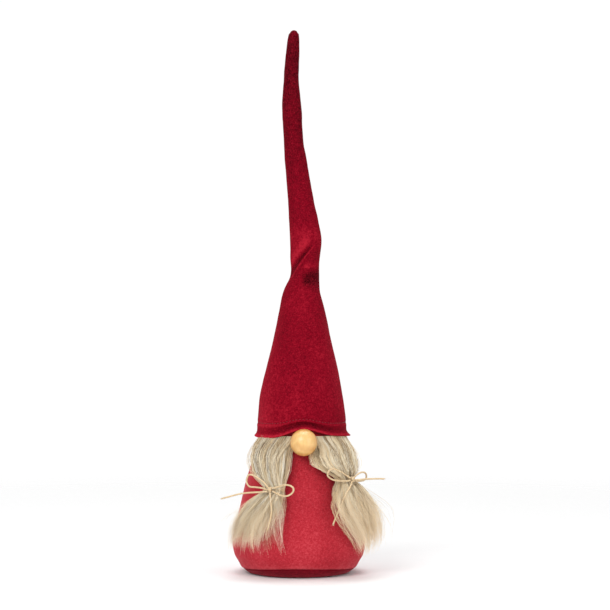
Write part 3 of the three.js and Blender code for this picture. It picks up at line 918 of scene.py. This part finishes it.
def twist_relief(x, height, front):
    """The fold at the kink: cloth from below laps over the tail along a diagonal crease."""
    along, beside = crease_place(x, height)
    there = fade(-0.16, 0.04, along) * (1 - fade(0.6, 1.0, along)) * front
    lap = 2.3 * fade(-0.5, 0.5, beside) * (1 - fade(1.2, 13, beside))
    behind = -2.9 * (1 - fade(-0.7, 0.2, beside)) * fade(-13, -1.5, beside)
    slope = height - KINK - 0.18 * (x - 12)
    right = fade(2, 8, x) * front
    pocket = -4.0 * hump(slope, -3, 6.5) * right
    ridge = 1.7 * hump(slope, 10, 5) * right
    return there * (lap + behind) + pocket + ridge


def ripples(turn, height):
    """Small soft dents of cloth over wire and filling."""
    tail = fade(KINK - 40, KINK, height)
    broad = uneven(turn, 1.6, height / 34) * (1.1 - 0.4 * tail)
    return broad + 0.4 * uneven(turn, 3.4, height / 13) * (0.5 + 0.5 * tail)


def hat_shape(point):
    height, radius = point.z / MM, math.hypot(point.x, point.y) / MM
    turn = turn_of(point.x, point.y)
    above_hem = fade(BRIM + 10, BRIM + 30, height)
    narrow = 1 - fade(TOP - 40, TOP - 6, height) * 0.7
    radius += hem_relief(turn, height) + ripples(turn, height) * above_hem * narrow
    back = abs(abs(turn) - BACK) * radius
    radius -= 0.9 * hump(back, 0, 1.8) * narrow * fade(BRIM + 4, BRIM + 12, height)
    depth = 1 + (TAIL_DEPTH - 1) * fade(KINK - 60, KINK - 20, height)
    x, front = radius * math.sin(turn), fade(-0.1, 0.5, math.cos(turn))
    relief = twist_relief(hat_middle(height) + x, height, front)
    y = -radius * math.cos(turn) * depth - relief
    return Vector((hat_middle(height) + x, y, height + arch(turn, height))) * MM


def hat_light_and_shade(turn, height):
    """Painted light and shade on the hat's pile: painted highlights on the crease's lip, the sheen beside
    it, the ridge, the hem's lower edge, the bulge above the hem's hollow, the mid tail, the cone's left side
    and the front; a painted shadow beside the crease and painted shade in the kink's pocket and the hem's
    hollow and groove. The tail is also darker towards its top.
    """
    x = hat_middle(height) + hat_half(height) * math.sin(turn)
    front = fade(-0.1, 0.5, math.cos(turn))
    along, beside = crease_place(x, height)
    there = fade(-0.1, 0.06, along) * (1 - fade(0.75, 1.05, along)) * front
    slope = height - KINK - 0.18 * (x - 12)
    right = fade(2, 9, x) * front
    level = 0.5 - 0.3 * fade(KINK + 40, TOP - 20, height) - 0.1 * fade(KINK - 90, KINK + 10, height)
    # painted highlight on the crease's lip and painted shadow in the strip beside it, then painted sheen
    # left of the crease and on the ridge below it
    level += there * (0.34 * hump(beside, 0.7, 0.9) - 0.3 * hump(beside, -2.0, 3.2))
    level += there * 0.3 * hump(beside, -9, 5) + 0.2 * hump(slope, 11, 5) * right
    # painted shade in the pocket at the kink
    level -= 0.5 * hump(slope, -4, 8) * right
    # painted shade in the hem's hollow and groove, painted highlights on its lower edge and on the bulge
    # above the hollow, then on the mid tail, the cone's left side and the front
    hem_front = 0.4 + 0.6 * hump(turn, NOSE_TURN, math.radians(45))
    level -= 0.34 * hem_front * hump(height, BRIM + 7.5, 3.6) + 0.08 * hump(height, STITCH - 0.4, 0.9)
    level += 0.34 * (1 - fade(BRIM + 2.2, BRIM + 4.4, height)) + 0.14 * hump(height, STITCH - 2.6, 1.3)
    level += 0.22 * hump(height, KINK + 44, 16) * front
    level += 0.13 * hump(turn, -1.2, 0.55) * (1 - fade(BRIM + 60, BRIM + 130, height))
    return min(max(level + 0.05 * hump(turn, 0.1, 0.5), 0), 1)


hat_bm = spun(hat_outline, 144)
hat_light_layer = hat_bm.verts.layers.float.new("light_and_nap")
for vertex in hat_bm.verts:
    vertex[hat_light_layer] = hat_light_and_shade(turn_of(vertex.co.x, vertex.co.y), vertex.co.z / MM)
hat_bm = moved(hat_bm, hat_shape)
whole_hat = finished(hat_bm, "whole_hat")
print("hat:", len(whole_hat.polygons), "faces before it is cut")

# %% Cutting the hat between its bends
BENDS = [hinge[name] for name in ("hat_bend_low", "hat_bend_middle", "hat_bend_tip")]
CUTS = [(a.z + b.z) / 2 for a, b in zip(BENDS, BENDS[1:])]


def slice_of(mesh, name, low, high):
    """The part of a mesh between two heights, in mm. None leaves that end whole."""
    bm = bmesh.new()
    bm.from_mesh(mesh)
    for height, side in ((low, "clear_inner"), (high, "clear_outer")):
        if height is None:
            continue
        bmesh.ops.bisect_plane(
            bm, geom=bm.verts[:] + bm.edges[:] + bm.faces[:], dist=1e-7,
            plane_co=(0, 0, height * MM), plane_no=(0, 0, 1), **{side: True},
        )
    part = bpy.data.meshes.new(name)
    bm.to_mesh(part)
    bm.free()
    return part


# name, its two cuts, the bodies below and above its bend, half the bend's length, what it stands for
hat_parts = [
    ("hat_cone_velvet", None, CUTS[0], "root", "tail_lower", 21, ("hat_cone", "hat_hem", "lower_tail")),
    ("hat_middle_velvet", CUTS[0], CUTS[1], "tail_lower", "tail_middle", 19, ("middle_tail",)),
    ("hat_tip_velvet", CUTS[1], None, "tail_middle", "tail_tip", 15, ("tip_tail",)),
]
for (name, low, high, lower, upper, reach, stands_for), bend in zip(hat_parts, BENDS):
    hat_part = add(name, slice_of(whole_hat, name, low, high), hat_velvet)
    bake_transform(hat_part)
    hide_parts(*stands_for)
    print(name, len(hat_part.data.polygons), "faces")
bpy.data.meshes.remove(whole_hat)

# %% [markdown]
# ## Stitches
#
# The turned edge is held by one row of machine stitches in crimson thread. Each stitch is a short
# capsule lying in the groove, so the row is a loop over one small shape.

# %% A row of stitches round the hem
thread, thread_tree, thread_shader = new_material("hem_thread", Roughness=0.6, Sheen_Weight=0.1)
thread_twist = node(thread_tree, "ShaderNodeTexWave", Scale=900.0, Distortion=1.5)
link(thread_tree, own_place(thread_tree), thread_twist.inputs["Vector"])
crimson = ramp(thread_tree, thread_twist.outputs["Fac"], (0, shade(96, 6, 20)), (1, shade(150, 26, 44)))
link(thread_tree, crimson, thread_shader.inputs["Base Color"])

STITCHES = 84
STITCH_HALF = (1.35, 0.32, 0.3)  # half length, width and height of a stitch
STITCH_PROUD = 0.12  # how far its middle stands off the groove
stitch_bm = bmesh.new()
for i in range(STITCHES):
    turn = 2 * math.pi * (i + 0.5) / STITCHES
    place, ahead = (hat_shape(at_turn(t, hat_half(STITCH), STITCH) * MM) for t in (turn, turn + 0.01))
    way = (ahead - place).normalized()
    outward = at_turn(turn, 1, 0)
    made = bmesh.ops.create_icosphere(stitch_bm, subdivisions=1, radius=1)
    size = Matrix.Diagonal((*(half * MM for half in STITCH_HALF), 1))
    facing = way.to_track_quat("X", "Z").to_matrix().to_4x4()
    where = Matrix.Translation(place + outward * STITCH_PROUD * MM)
    bmesh.ops.transform(stitch_bm, matrix=where @ facing @ size, verts=made["verts"])
stitch_mesh = bpy.data.meshes.new("hem_stitches")
stitch_bm.to_mesh(stitch_mesh)
stitch_bm.free()
stitches = add("hem_stitches", stitch_mesh, thread)
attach(stitches, "root")
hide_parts("hem_thread")
print(STITCHES, "stitches")

# %% [markdown]
# ## Nose
#
# The nose is a 30 mm turned ball of pale wood, lacquered, with a small flat at the back where it is
# glued. A sphere is cut with a plane for the flat, and the flat's edge is bevelled. The grain is
# long rings, as a ball turned from a straight stick shows, and the lacquer is the shader's coat. The
# wood's colour is painted darker and more golden towards the rim as the eye sees it: painted shade
# where the front light falls off.

# %% Lacquered wood
wood, wood_tree, wood_shader = new_material(
    "lacquered_wood", Roughness=0.42, Coat_Weight=0.7, Coat_Roughness=0.28, Specular_IOR_Level=0.4,
    Subsurface_Weight=0.1, Subsurface_Scale=0.003,
)
nose_centre = centre("nose_ball")
grain_turn = node(wood_tree, "ShaderNodeMapping", vector_type="POINT")
grain_turn.inputs["Location"].default_value = tuple(-MM * v for v in nose_centre)
grain_turn.inputs["Scale"].default_value = (1, 1, 0.28)
link(wood_tree, own_place(wood_tree), grain_turn.inputs["Vector"])
growth = node(wood_tree, "ShaderNodeTexWave", wave_type="RINGS", rings_direction="X", Scale=52.0,
              Distortion=2.4, Detail=2.0)
growth.inputs["Detail Scale"].default_value = 1.2
link(wood_tree, grain_turn.outputs["Vector"], growth.inputs["Vector"])
pores = node(wood_tree, "ShaderNodeTexNoise", Scale=420.0, Detail=4.0)
link(wood_tree, grain_turn.outputs["Vector"], pores.inputs["Vector"])
rings = ramp(wood_tree, growth.outputs["Fac"], (0, shade(230, 186, 116)), (0.6, shade(236, 194, 126)),
             (1, shade(222, 174, 104)))
flecks = ramp(wood_tree, pores.outputs["Fac"], (0.36, (0.82, 0.74, 0.64)), (0.56, (1, 1, 1)))
# painted shade: the base colour darker and more golden towards the rim, as seen from the camera
edge = node(wood_tree, "ShaderNodeLayerWeight")
rim_shade = ramp(wood_tree, edge.outputs["Facing"], (0.15, (1, 1, 1)), (0.75, (0.84, 0.7, 0.5)))
flecked = mix(wood_tree, 0.3, rings, flecks, "MULTIPLY")
link(wood_tree, mix(wood_tree, 1.0, flecked, rim_shade, "MULTIPLY"), wood_shader.inputs["Base Color"])
wood_rough = ranged(wood_tree, pores.outputs["Fac"], 0, 1, 0.34, 0.5)
link(wood_tree, wood_rough, wood_shader.inputs["Roughness"])

# %% The ball
NOSE_RADIUS = 15
NOSE_FLAT = 2  # how deep the glued flat is cut
NOSE_SLACK = 0.2  # how far the ball stands off the frame's own
glue_centre = centre("nose_glue")
nose_bm = bmesh.new()
bmesh.ops.create_uvsphere(nose_bm, u_segments=64, v_segments=40, radius=NOSE_RADIUS * MM)
back_way = (glue_centre - nose_centre).normalized()
ball_centre = nose_centre - back_way * NOSE_SLACK
bmesh.ops.translate(nose_bm, verts=nose_bm.verts, vec=ball_centre * MM)
flat_place = (ball_centre + back_way * (NOSE_RADIUS - NOSE_FLAT)) * MM
cut = bmesh.ops.bisect_plane(
    nose_bm, geom=nose_bm.verts[:] + nose_bm.edges[:] + nose_bm.faces[:], dist=1e-7,
    plane_co=flat_place, plane_no=back_way, clear_outer=True,
)
rim = [edge for edge in cut["geom_cut"] if isinstance(edge, bmesh.types.BMEdge)]
bmesh.ops.edgeloop_fill(nose_bm, edges=rim)
bmesh.ops.bevel(
    nose_bm, geom=rim, offset=0.4 * MM, segments=2, profile=0.5, affect="EDGES", material=-1,
)
nose = add("nose_ball_wood", finished(nose_bm, "nose_ball_wood"), wood)
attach(nose, "root")
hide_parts("nose_ball")
print("nose centre at", [round(v, 1) for v in ball_centre])

# %% [markdown]
# ## Hair
#
# The hair is long-pile fur cut in strips and glued under the brim, combed down and tied with twine
# into two locks. Each lock is thousands of fine, tapering fibres. A particle system would do it, but
# its hairs aren't a mesh, so each fibre is a poly curve with a three-sided section, and the whole
# lock becomes one mesh. Real fur doesn't lie evenly: its fibres gather in tufts that end in points.
# So a lock is first given its tufts, each with a place in the cross-section, a direction once it is
# past the twine, a length and a tone, and then each fibre follows a tuft and closes in on its tip.

# %% The locks' shapes, in mm below the hinge line
UNDER_BRIM = -11.5
LOCKS = {
    "left": {
        "length": 121,
        "tone": 0.62,
        "turn": smooth([
            [UNDER_BRIM, -37.5], [0, -37.5], [16, -34], [30, -29.5], [46, -23.5], [60, -30.5], [85, -40],
            [121, -46],
        ]),
        "width": smooth([
            [UNDER_BRIM, 55], [0, 51], [16, 43], [30, 36], [38, 28], [44, 21], [48, 21], [54, 31], [62, 41],
            [74, 51], [90, 63], [121, 86],
        ]),
        "thick": smooth([
            [UNDER_BRIM, 1.6], [-6, 3.5], [0, 8], [12, 13], [34, 13], [44, 9], [48, 9], [58, 14], [85, 15],
            [121, 10],
        ]),
    },
    "right": {
        "length": 128,
        "tone": 0.52,
        "turn": smooth([
            [UNDER_BRIM, 41], [0, 40.5], [13, 37], [24, 40], [36, 44.6], [56, 50], [80, 56], [104, 62],
            [128, 65],
        ]),
        "width": smooth([
            [UNDER_BRIM, 56], [0, 55], [13, 54], [24, 47], [30, 35], [34, 23], [38, 23], [43, 33], [53, 48],
            [78, 62], [104, 54], [128, 34],
        ]),
        "thick": smooth([
            [UNDER_BRIM, 1.6], [-6, 3.5], [0, 8], [10, 13], [26, 13], [34, 9], [38, 9], [50, 15], [80, 19],
            [128, 12],
        ]),
    },
}


def standoff(side, below):
    """Room between the velvet and the hair, more at the waist, where the twine passes."""
    return 0.8 + (STANDOFF - 0.8) * hump(below, TIE[side], 14)


def in_lock(side, below, u, v, loose):
    """A point in mm: u across from -1 to 1, v from 0 at the back to 1 at the front.

    Tied hair follows the body round. Loose hair leaves it, nearly straight.
    """
    lock = LOCKS[side]
    across = u * lock["width"](below) / 2
    out = standoff(side, below) + v * lock["thick"](below)
    turn, height = lock["turn"](below), HINGE_LINE - below
    hugging = on_body(turn, height, across, out)
    straight = on_body(turn, height, 0, out) + ways_at(turn)[0] * across
    return hugging.lerp(straight, 0.65 * loose)


# %% Tufts and fibres
INWARD = {"left": 1, "right": -1}  # the way across that leads to the nose
FLOOR_GAP = 3  # no fibre comes closer to the table


def tuft(side, draw, stray):
    """One tuft: its place in the lock, and how it goes on below the twine."""
    angle, ring = draw.uniform(0, 2 * math.pi), math.sqrt(draw.random())
    return {
        "u": ring * math.cos(angle), "v": 0.5 + 0.5 * ring * math.sin(angle),
        "lean": draw.gauss(INWARD[side] * 0.3 * stray, 0.16 + 0.3 * stray),
        "lift": abs(draw.gauss(0, 0.12 + 0.4 * stray)),
        "end": LOCKS[side]["length"] * draw.uniform(0.68, 1),
        "tone": draw.gauss(LOCKS[side]["tone"], 0.24), "phase": draw.uniform(0, 6.3),
        "wave": draw.uniform(0.4, 1.8) * (1 + 1.4 * stray),
    }


def lick(draw, guide, stray):
    """A few fibres that cling together: a thin strand of a tuft."""
    tone = min(max(guide["tone"] + draw.gauss(0, 0.17), 0), 1)
    return dict(
        guide, du=draw.gauss(0, 0.2), dv=draw.gauss(0, 0.2), tone=tone,
        phase=guide["phase"] + draw.gauss(0, 0.7), frizz=draw.gauss(0, 0.06 + 0.12 * stray),
        end=guide["end"] - abs(draw.gauss(0, 7)) + stray * draw.uniform(-6, 10),
    )


def fibre(side, draw, strand, stray):
    """Points, radii and the tone of one fibre of a strand. stray is how loosely it lies, 0 to 1."""
    tie = TIE[side]
    own_u, own_v, own = draw.gauss(0, 0.045), draw.gauss(0, 0.07), draw.gauss(0, 0.025 + 0.05 * stray)
    end = max(strand["end"] - abs(draw.gauss(0, 7)), tie + 24)
    marks = [UNDER_BRIM, -7, -2.5, 3, 10, 18, *steps(26 if tie > 40 else 21, tie - 3, 2)]
    marks += [tie, tie + 3.5, tie + 9, *steps(tie + 17, end, 5)]
    points = []
    for below in marks:
        loose = fade(tie + 1, tie + 36, below)
        slack = hump(below, tie * 0.45, tie * 0.33)
        gather = 1 - 0.88 * fade(tie + 8, end, below)
        u = min(max(strand["u"] + strand["du"] * gather, -1.06), 1.06)
        if below > tie:
            u *= 1 - loose * 0.34 * (1 - abs(u))
        u += own_u + (strand["lean"] + strand["frizz"] + own) * loose
        u += (strand["frizz"] + own) * 0.8 * slack * (1 + stray)
        u = min(max(u, -1.4), 1.4)
        v = strand["v"] + strand["dv"] * gather + own_v + strand["lift"] * (loose + 0.25 * slack)
        bend = strand["wave"] * math.sin(strand["phase"] + below / 13) * (0.55 * slack + loose)
        point = in_lock(side, below, u, min(max(v, -0.05), 2.2), loose)
        points.append(point + Vector((bend, 0, 0.4 * bend)))
    for point in points:
        point.z = max(point.z, FLOOR_GAP)
    thick = draw.uniform(0.15, 0.25) * (1 - 0.4 * stray)
    radii = [thick * (1 - 0.86 * (i / (len(marks) - 1)) ** 2.0) for i in range(len(marks))]
    tone = min(max(strand["tone"] + draw.gauss(0, 0.07), 0), 1)
    return points, radii, tone


# %% [markdown]
# ## The fur's colours
#
# The fur is sandy blond, with ash-brown and near-white fibres mixed in, a little darker at the root.
# A fibre's tone picks its colour from a ramp, and the distance along it darkens the root and
# lightens the tip with painted light, so that the loose ends look lit.

# %% Fur material
def fur(name, warm):
    material, tree, shader = new_material(name, Roughness=0.55, Specular_IOR_Level=0.35,
                                          Sheen_Weight=0.15, Sheen_Roughness=0.4)
    tone = node(tree, "ShaderNodeAttribute", attribute_name="tone")
    along = node(tree, "ShaderNodeAttribute", attribute_name="along")
    colour = ramp(
        tree, tone.outputs["Fac"], (0, shade(128, 104, 76)), (0.2, shade(206, 182, 146)),
        (0.42, shade(246, 226, 190)), (0.7, shade(255, 242, 216)), (1, shade(255, 253, 244)),
    )
    root = ramp(tree, along.outputs["Fac"], (0, (0.74, 0.69, 0.6)), (0.3, (0.98, 0.97, 0.93)), (1, warm))
    # painted light on the tips: the far half of each fibre mixed towards a pale cream
    tip_light = ranged(tree, along.outputs["Fac"], 0.45, 1.0, 0.0, 0.45)
    tip_lit = mix(tree, tip_light, colour, (*shade(255, 240, 212), 1))
    link(tree, mix(tree, 1.0, tip_lit, root, "MULTIPLY"), shader.inputs["Base Color"])
    return material


furs = {"left": fur("fur_left", (1, 0.97, 0.91)), "right": fur("fur_right", (1, 0.94, 0.86))}


def blend_over_hinge(piece):
    """Takes the piece's placement into its mesh."""
    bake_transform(piece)


# name, how loose, fibres, tufts, fibres in a strand
LAYERS = (("inner", 0.1, 1500, 30, 8), ("outer", 0.35, 1500, 46, 6), ("wisps", 0.8, 600, 150, 2))
for side in LOCKS:
    for layer, stray, count, tufts, share in LAYERS:
        draw = random.Random(f"{side} {layer}")
        guides = [tuft(side, draw, stray) for _ in range(tufts)]
        licks = [lick(draw, guides[i % tufts], stray) for i in range(count // share)]
        strands = [fibre(side, draw, licks[i // share], stray) for i in range(len(licks) * share)]
        piece = add(f"hair_{side}_{layer}", fibres_mesh(f"hair_{side}_{layer}", strands), furs[side])
        blend_over_hinge(piece)
        if layer == "inner":
            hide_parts(f"{side}_hair_lock")
        print(piece.name, len(strands), "fibres in", tufts, "tufts,", len(piece.data.polygons), "faces")

# %% [markdown]
# ## Twine finish
#
# Cotton twine is nearly white, with painted shade in the valleys between its plies and a few darker
# flecks of seed. The valleys are found from the mesh itself, with the pointiness of its surface.

# %% Twine material
twine_finish, twine_tree, twine_shader = new_material(
    "cotton_twine", Roughness=0.85, Sheen_Weight=0.35, Sheen_Roughness=0.5, Specular_IOR_Level=0.15,
)
seed = node(twine_tree, "ShaderNodeTexNoise", Scale=700.0, Detail=3.0)
link(twine_tree, own_place(twine_tree), seed.inputs["Vector"])
shape_of = node(twine_tree, "ShaderNodeNewGeometry")
# painted shade in the valleys between the plies
valley_shade = ramp(twine_tree, shape_of.outputs["Pointiness"], (0.42, (0.74, 0.66, 0.54)), (0.53, (1, 1, 1)))
cotton = ramp(twine_tree, seed.outputs["Fac"], (0.3, shade(232, 204, 164)), (0.5, shade(250, 230, 198)),
              (0.75, shade(255, 246, 226)))
link(twine_tree, mix(twine_tree, 1.0, cotton, valley_shade, "MULTIPLY"), twine_shader.inputs["Base Color"])
bumped(twine_tree, twine_shader, seed.outputs["Fac"], 0.6, 0.0002)
for piece in twine_pieces:
    piece.data.materials.append(twine_finish)

# %% [markdown]
# ## What is inside
#
# The card, the sand in its pouch, the fillings, the wire, the glue and the fur's backing are hidden,
# but they come apart on a bench like the rest, so each has a finish of its own. They keep the
# frame's own solids, and only their material slots are filled.

# %% Finishes for the hidden pieces
def speckled(name, first, second, scale, roughness, bump=0.3, **sockets):
    """A plain finish with a fine two-colour grain."""
    material, tree, shader = new_material(name, Roughness=roughness, **sockets)
    specks = node(tree, "ShaderNodeTexNoise", Scale=scale, Detail=4.0)
    link(tree, own_place(tree), specks.inputs["Vector"])
    link(tree, ramp(tree, specks.outputs["Fac"], (0.35, first), (0.65, second)), shader.inputs["Base Color"])
    bumped(tree, shader, specks.outputs["Fac"], bump, 0.0004)
    return material


fibrefill = speckled("fibrefill", shade(222, 218, 208), shade(248, 246, 240), 260.0, 0.95, 0.8)
wire_steel = speckled(
    "wire_steel", shade(140, 144, 150), shade(190, 194, 198), 900.0, 0.35, 0.1, Metallic=1.0,
)
HIDDEN = {
    fibrefill: ("body_filling", "hat_filling"),
    wire_steel: ("hat_wire", "lower_tail_wire", "middle_tail_wire", "tip_tail_wire"),
    speckled("card", shade(132, 112, 82), shade(170, 148, 114), 500.0, 0.9): ("base_board",),
    speckled("pouch_cotton", shade(196, 186, 162), shade(222, 214, 194), 1400.0, 0.9): ("ballast_pouch",),
    speckled("sand", shade(150, 122, 84), shade(216, 190, 148), 1600.0, 0.95, 0.9): ("ballast_sand",),
    speckled("hot_glue", shade(226, 216, 186), shade(242, 234, 210), 200.0, 0.35): ("nose_glue",),
    speckled("fur_backing", shade(150, 128, 98), shade(188, 166, 132), 1200.0, 0.9, 0.6): (
        "left_hair_strip", "right_hair_strip",
    ),
}
for finish, names in HIDDEN.items():
    for name in names:
        solid = frame["nodes"][name]
        solid.data.materials.clear()
        solid.data.materials.append(finish)
print(sum(len(names) for names in HIDDEN.values()), "hidden pieces have a finish")

# %% [markdown]
# ## Floor and light
#
# A curved paper backdrop would hide the gnome from behind, so the floor is a plain round sheet that
# thins out to nothing before its edge, and the pale studio round it is the world itself. There is
# then no horizon from any side. Large soft lamps light it from the front: a key from high on the
# left, a fill from the right and one from above. The world looks white and lights less than it
# looks, so that the folds keep their shade.

# %% Floor
FLOOR_RADIUS = 2.4  # m
FADE_START, FADE_END = 0.35, 1.5  # m from the middle
floor_bm = bmesh.new()
bmesh.ops.create_circle(floor_bm, cap_ends=True, segments=96, radius=FLOOR_RADIUS)
floor_mesh = finished(floor_bm, "floor", flat=True)
floor_mat, floor_tree, floor_shader = new_material("pale_floor", Roughness=0.8, Specular_IOR_Level=0.1)
floor_place = own_place(floor_tree)
distance = node(floor_tree, "ShaderNodeVectorMath", operation="LENGTH")
link(floor_tree, floor_place, distance.inputs[0])
solidity = ranged(floor_tree, distance.outputs["Value"], FADE_START, FADE_END, 1.0, 0.0)
link(floor_tree, solidity, floor_shader.inputs["Alpha"])
paper = grain(floor_tree, floor_place, 60.0)
pale = ramp(floor_tree, paper, (0, (0.9, 0.9, 0.9)), (1, (0.93, 0.93, 0.93)))
link(floor_tree, pale, floor_shader.inputs["Base Color"])
floor = add("floor", floor_mesh, floor_mat)

# %% Lights
def lamp(name, place, size, power):
    data = bpy.data.lights.new(name, "AREA")
    data.shape = "DISK"
    data.size = size
    data.energy = power
    made = bpy.data.objects.new(name, data)
    made.location = place
    made.rotation_euler = (Vector((0, 0, 0.28)) - Vector(place)).to_track_quat("-Z", "Y").to_euler()
    scene.collection.objects.link(made)


lamp("key", (-1.1, -2.1, 1.7), 1.5, 38)
lamp("fill", (1.6, -1.6, 0.8), 1.4, 12)
lamp("top", (0, 0.2, 2.0), 1.4, 16)
world = bpy.data.worlds.new("studio")
scene.world = world
world.use_nodes = True
seen = node(world.node_tree, "ShaderNodeLightPath").outputs["Is Camera Ray"]
background = world.node_tree.nodes["Background"]
background.inputs["Color"].default_value = (1, 1, 1, 1)
WORLD_LIGHTS, WORLD_LOOKS = 0.62, 1.02
strength = ranged(world.node_tree, seen, 0, 1, WORLD_LIGHTS, WORLD_LOOKS)
link(world.node_tree, strength, background.inputs["Strength"])
scene.view_settings.view_transform = "Standard"
